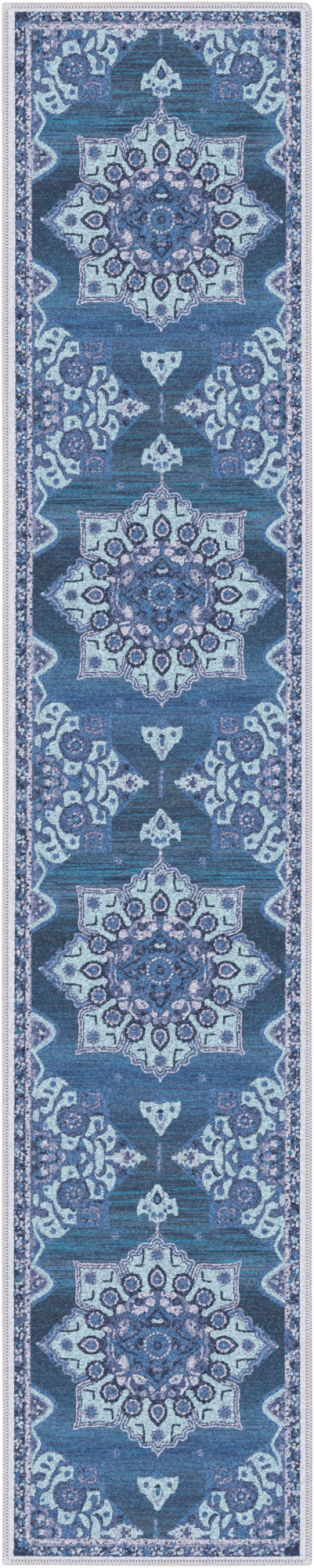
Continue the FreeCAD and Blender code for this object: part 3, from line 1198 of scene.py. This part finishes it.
def makeGripCoat():
    low, high = levels("grip_layer")
    grip = gripCoat
    across = round((high[0] - low[0]) / grip["pitchAcross"])
    rows = round((high[1] - low[1]) / grip["pitchAlong"])
    dx, dy = (high[0] - low[0]) / across / 2, (high[1] - low[1]) / rows
    filmLevel = high[2] - grip["filmShare"] * (high[2] - low[2])
    points, faces, padFaces, rim = [], [], [], {}

    def rimPoint(i, j, level):    # i counts half tiles across, j counts rows
        key = (i, j, level)
        if key not in rim:
            rim[key] = len(points)
            points.append((low[0] + i * dx, low[1] + j * dy, level))
        return rim[key]

    halfTiles = 2 * across
    for j in range(rows):
        start = j % 2
        tiles = [(i, 2) for i in range(start, halfTiles - start, 2)]
        tiles += [(0, 1), (halfTiles - 1, 1)] if start else []
        for i, width in tiles:
            ring = [(i + k, j) for k in range(width + 1)] + [(i + k, j + 1) for k in range(width, -1, -1)]
            faces.append([rimPoint(p, q, high[2]) for p, q in ring])
            under = [rimPoint(p, q, filmLevel) for p, q in ring]
            if width == 1:
                faces.append(under[::-1])
                continue
            cx, cy = low[0] + (i + 1) * dx, low[1] + (j + 0.5) * dy
            rings = [under]
            for radius, level in ((grip["padRadius"], filmLevel), (grip["padTop"], low[2])):
                rings.append(list(range(len(points), len(points) + 6)))
                for k in range(6):
                    a = math.radians(-150 + 60 * k)
                    points.append((cx + radius * math.cos(a), cy + radius * math.sin(a), level))
            for outer, inner in zip(rings[:-1], rings[1:]):
                for k in range(6):
                    m = (k + 1) % 6
                    faces.append([outer[m], outer[k], inner[k], inner[m]])
            faces.append(rings[-1][::-1])
            padFaces += range(len(faces) - 7, len(faces))
    for j in range(rows):
        for i, turned in ((0, False), (halfTiles, True)):
            wall = [rimPoint(i, j, high[2]), rimPoint(i, j + 1, high[2])]
            wall += [rimPoint(i, j + 1, filmLevel), rimPoint(i, j, filmLevel)]
            faces.append(wall[::-1] if turned else wall)
    for i in range(halfTiles):
        for j, turned in ((0, True), (rows, False)):
            wall = [rimPoint(i, j, high[2]), rimPoint(i + 1, j, high[2])]
            wall += [rimPoint(i + 1, j, filmLevel), rimPoint(i, j, filmLevel)]
            faces.append(wall[::-1] if turned else wall)
    rubber = makeGripMaterial()
    piece = makePiece("gripCoat", points, faces, rubber, "grip_layer", "grip_coat", smooth=False)
    onPad = np.zeros(len(faces), np.float32)
    onPad[padFaces] = 1
    piece.data.attributes.new("pad", "FLOAT", "FACE").data.foreach_set("value", onPad)
    return piece


backingPiece, latexPiece = makeBacking()
gripPiece = makeGripCoat()


# --- the stitched edge ---
seam = {
    "pitch": 6.2,          # one stitch along the edge
    "corner": 17.0,        # the stitches fan out within this distance of a corner
    "yarnWidth": 1.42,     # half widths and half heights of the flattened yarn
    "yarnHeight": 0.46,
    "sides": 7,
    "wander": 0.22,        # how unevenly the stitches lie, and its share sideways and upwards
    "wanderIn": 0.5,
    "wanderUp": 0.12,
    "underGap": 0.1,
    "yarnTints": ((192, 188, 194), (232, 228, 233)),
    "paintedSideShade": 0.75,          # painted shade: how much darker the yarn is painted where it turns down over the edge
    "paintedSideShadeTint": (142, 140, 150),
}
# one stitch of the upper yarn: share of the pitch, distance in from the edge, height, degrees it leans out
upperStitch = [
    (0.00, 10.9, 4.50, 0), (0.07, 9.7, 4.74, 0), (0.16, 7.0, 4.76, 0), (0.26, 4.0, 4.74, 5),
    (0.34, 1.8, 4.42, 35), (0.41, 0.62, 3.60, 75), (0.50, 0.44, 2.75, 90), (0.59, 0.62, 3.60, 75),
    (0.66, 1.8, 4.42, 35), (0.74, 4.0, 4.74, 5), (0.84, 7.0, 4.76, 0), (0.93, 9.7, 4.74, 0),
]
thread = {
    "radius": 0.27,
    "sides": 6,
    "fromEdge": 10.2,
    "tints": ((142, 142, 154), (190, 190, 200)),
}
# one stitch of the needle thread: share of the pitch and height
threadStitch = [(0.0, 4.45), (0.12, 4.92), (0.3, 5.02), (0.5, 5.03), (0.7, 5.02), (0.88, 4.92)]
cornerTurns = [(1, 1), (-1, 1), (-1, -1), (1, -1)]


def cornerPlace(quarter, t, inset):
    # a point on the way round a corner, and the way out from the edge there
    signX, signY = cornerTurns[quarter]
    radius = cornerRadius(signX, signY, inset)
    straight = seam["corner"] - inset - radius
    arc = radius * math.pi / 2
    d = t * (2 * straight + arc)
    if d < straight:
        px, py, a = -inset, -seam["corner"] + d, 0.0
    elif d < straight + arc:
        a = (d - straight) / radius
        px, py = -inset - radius + radius * math.cos(a), -inset - radius + radius * math.sin(a)
    else:
        px, py, a = -inset - radius - (d - straight - arc), -inset, math.pi / 2
    turn = quarter * math.pi / 2
    c, s = round(math.cos(turn)), round(math.sin(turn))
    x = signX * rugHalfWidth + c * px - s * py
    y = signY * rugHalfLength + s * px + c * py
    return x, y, math.cos(a + turn), math.sin(a + turn)


def sidePlace(quarter, t, inset):    # 0 is the right side, then head, left and foot
    c, s = [(1, 0), (0, 1), (-1, 0), (0, -1)][quarter]
    out, half = (rugHalfWidth, rugHalfLength) if quarter % 2 == 0 else (rugHalfLength, rugHalfWidth)
    px, py = out - inset, (2 * t - 1) * (half - seam["corner"])
    return c * px - s * py, s * px + c * py, c, s


def stretchLength(place, quarter):
    steps = [place(quarter, k / 24, 0.0)[:2] for k in range(25)]
    return sum(math.dist(a, b) for a, b in zip(steps, steps[1:]))


# each run is made of stretches that follow on from one another
edgeRuns = {
    "right": [(cornerPlace, 3), (sidePlace, 0), (cornerPlace, 0)],
    "head": [(sidePlace, 1)],
    "left": [(cornerPlace, 1), (sidePlace, 2), (cornerPlace, 2)],
    "foot": [(sidePlace, 3)],
}


def walk(run, stitch, rand, shift=0.0):
    # follows a stitch along a run; gives the points and the way that the yarn faces
    points, facing = [], []
    for place, quarter in edgeRuns[run]:
        count = max(1, round(stretchLength(place, quarter) / seam["pitch"]))
        for n in range(count):
            wobble = rand.normal(0, seam["wander"], 2)
            for share, inset, height, lean in stitch:
                t = min(max((n + share + shift) / count, 0.0), 1.0)
                x, y, outX, outY = place(quarter, t, inset + wobble[0] * seam["wanderIn"])
                lean = math.radians(lean)
                points.append((x, y, height + wobble[1] * seam["wanderUp"]))
                facing.append((math.sin(lean) * outX, math.sin(lean) * outY, math.cos(lean)))
    return np.array(points), np.array(facing)


def sweep(points, facing, halfWidth, halfHeight, sides):
    # a closed tube with an oval section that lies flat against the cloth
    keep = np.concatenate([[True], np.linalg.norm(np.diff(points, axis=0), axis=1) > 0.02])
    points, facing = points[keep], facing[keep]
    ahead = np.gradient(points, axis=0)
    ahead /= np.linalg.norm(ahead, axis=1)[:, None]
    across = np.cross(ahead, facing)
    across /= np.maximum(np.linalg.norm(across, axis=1), 0.05)[:, None]
    up = np.cross(across, ahead)
    a = np.linspace(0, 2 * math.pi, sides, endpoint=False)[None, :, None]
    rings = points[:, None] + across[:, None] * np.cos(a) * halfWidth + up[:, None] * np.sin(a) * halfHeight
    count = len(points)
    start = np.arange(count - 1)[:, None] * sides
    k = np.arange(sides)[None]
    m = (k + 1) % sides
    squares = np.stack([start + k, start + m, start + sides + m, start + sides + k], -1)
    faces = squares.reshape(-1, 4).tolist()
    faces.append(list(range(sides - 1, -1, -1)))
    faces.append(list(range((count - 1) * sides, count * sides)))
    return rings.reshape(-1, 3), faces


def makeYarnMaterial():
    material, tree, shader, place = startMaterial("edgeYarn", 0.85, 0.35, 0.5, 0.15)
    fibres = cloud(tree, place, 1900.0, 3.0, (1.0, 1.0, 0.6)).outputs["Fac"]
    lengths = cloud(tree, place, 9.0, 3.0).outputs["Fac"]
    slubs = cloud(tree, place, 160.0, 2.0).outputs["Fac"]
    mixed = sums(tree, "MULTIPLY_ADD", fibres, 0.7, times(tree, slubs, 0.5))
    colour = blendTints(tree, between(tree, mixed, 0.35, 0.8), seam["yarnTints"])
    height = addNode(tree, "ShaderNodeSeparateXYZ", {0: place}).outputs[2]
    # painted shade on the yarn's sides, between its top and its underside, where it turns down over the
    # edge
    belowTop, aboveUnder = between(tree, height, 0.0046, 0.0028), between(tree, height, 0.0010, 0.0024)
    paintedSideShade = times(tree, times(tree, belowTop, aboveUnder), seam["paintedSideShade"])
    colour = blendColours(tree, paintedSideShade, colour, tint(*seam["paintedSideShadeTint"]))
    warm = blendColours(tree, between(tree, lengths, 0.42, 0.62), (1.0, 1.0, 1.03, 1), (1.03, 1.0, 0.98, 1))
    colour = blendColours(tree, 1.0, colour, warm, "MULTIPLY")
    finishMaterial(tree, shader, colour, fibres, 0.0003)
    return material


def makeThreadMaterial():
    material, tree, shader, place = startMaterial("seamThread", 0.6, 0.15, 0.4, 0.3)
    twist = cloud(tree, place, 2400.0, 2.0).outputs["Fac"]
    colour = blendTints(tree, between(tree, twist, 0.35, 0.65), thread["tints"])
    finishMaterial(tree, shader, colour, twist, 0.0002)
    return material


def makeSeam():
    pieces = []
    yarn, needle = makeYarnMaterial(), makeThreadMaterial()
    rand = np.random.default_rng(21)
    topLevel = levels("upper_looper_yarn_left")[1][2]
    turnOver = topLevel - seam["underGap"]
    lowerStitch = [(share, inset, turnOver - height, 180 - lean)
                   for share, inset, height, lean in upperStitch]
    needleStitch = [(share, thread["fromEdge"], height, 0) for share, height in threadStitch]
    flatYarn = (seam["yarnWidth"], seam["yarnHeight"], seam["sides"])
    roundThread = (thread["radius"], thread["radius"], thread["sides"])
    kinds = [
        ("upperLooperYarn", "upper_looper_yarn", upperStitch, 0.0, flatYarn, yarn, "edge_yarn"),
        ("lowerLooperYarn", "lower_looper_yarn", lowerStitch, 0.5, flatYarn, yarn, "edge_yarn"),
        ("needleThread", "needle_thread", needleStitch, 0.0, roundThread, needle, "seam_thread"),
    ]
    for name, node, stitch, shift, section, material, slotName in kinds:
        for run in edgeRuns:
            points, facing = walk(run, stitch, rand, shift)
            tube, faces = sweep(points, facing, *section)
            side = run.capitalize()
            pieces.append(makePiece(name + side, tube, faces, material, node + "_" + run, slotName))
    return pieces


seamPieces = makeSeam()


# --- floor and light ---
studio = {
    "floorSize": 24.0,
    "keyStrength": 1.80,
    "keyTilt": (9, -7),
    "keySoftness": 50,
    "fill": 0.52,
    "floorDrop": 0.0002,
    "floorTones": ((0.955, 0.955, 0.95, 1), (0.975, 0.975, 0.97, 1)),
}


def makeFloor():
    half = studio["floorSize"] / 2
    mesh = bpy.data.meshes.new("floor")
    square = [(-half, -half, 0), (half, -half, 0), (half, half, 0), (-half, half, 0)]
    mesh.from_pydata(square, [], [(0, 1, 2, 3)])
    floor = bpy.data.objects.new("floor", mesh)
    bpy.context.scene.collection.objects.link(floor)
    material, tree, shader, place = startMaterial("paleFloor", 0.7, 0.0, 0.5, 0.1)
    grain = cloud(tree, place, 3.0, 2.0).outputs["Fac"]
    colour = blendColours(tree, grain, *studio["floorTones"])
    tree.links.new(colour, shader.inputs["Base Color"])
    mesh.materials.append(material)
    floor.location.z = -studio["floorDrop"]


def makeLight():
    key = bpy.data.lights.new("softKey", "SUN")
    key.energy = studio["keyStrength"]
    key.angle = math.radians(studio["keySoftness"])
    keyObject = bpy.data.objects.new("softKey", key)
    keyObject.rotation_euler = [math.radians(t) for t in studio["keyTilt"]] + [0]
    bpy.context.scene.collection.objects.link(keyObject)
    world = bpy.data.worlds.new("studio")
    bpy.context.scene.world = world
    world.use_nodes = True
    background = world.node_tree.nodes["Background"]
    background.inputs["Color"].default_value = (1, 1, 1, 1)
    background.inputs["Strength"].default_value = studio["fill"]
    bpy.context.scene.view_settings.view_transform = "Standard"


makeFloor()
makeLight()
print("floor and light set")
